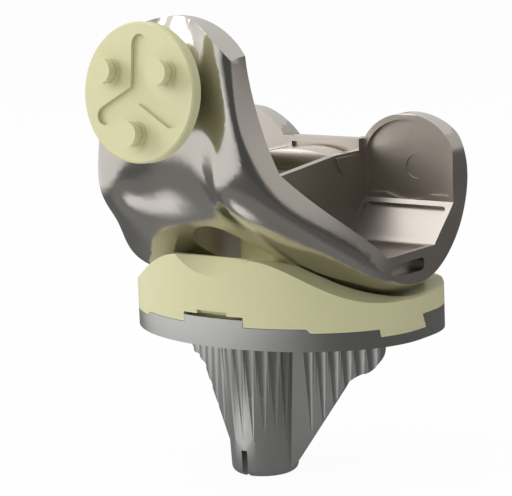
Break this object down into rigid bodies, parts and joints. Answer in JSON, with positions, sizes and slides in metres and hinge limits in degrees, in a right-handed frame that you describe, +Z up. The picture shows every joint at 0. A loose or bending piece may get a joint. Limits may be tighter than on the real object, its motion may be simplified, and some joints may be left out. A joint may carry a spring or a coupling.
{
  "type": "prosthetic knee joint",
  "caption": "Total knee replacement with a polished femoral component, plastic insert, metal tibial tray with a fluted keel, and a domed patella button.",
  "frame": {"origin": "on the keel's axis at the underside of the tibial tray", "axes": "+Z up the leg, -Y the front of the knee, +X one side; the whole is symmetric about X = 0"},
  "size_m": [0.072, 0.08, 0.1029],
  "materials": {
    "polished_alloy": "polished",
    "satin_titanium": "satin",
    "bearing_plastic": "smooth"
  },
  "bodies": {
    "tibia": {"tibial_tray": "satin_titanium", "tibial_insert": "bearing_plastic"},
    "femur": {"femoral_component": "polished_alloy"},
    "patella": {"patella_button": "bearing_plastic"}
  },
  "joints": [
    {"name": "knee_flexion", "type": "hinge", "parent": "tibia", "child": "femur", "pos_m": [0, 0.0115, 0.035], "axis": [-1, 0, 0], "range_deg": [0, 115]},
    {"name": "patella_tracking", "type": "hinge", "parent": "femur", "child": "patella", "pos_m": [0, 0.00709, 0.05203], "axis": [-1, 0, 0], "range_deg": [-74.75, 0]}
  ],
  "couplings": [
    {"joint": "patella_tracking", "follows": "knee_flexion", "ratio": -0.65}
  ]
}
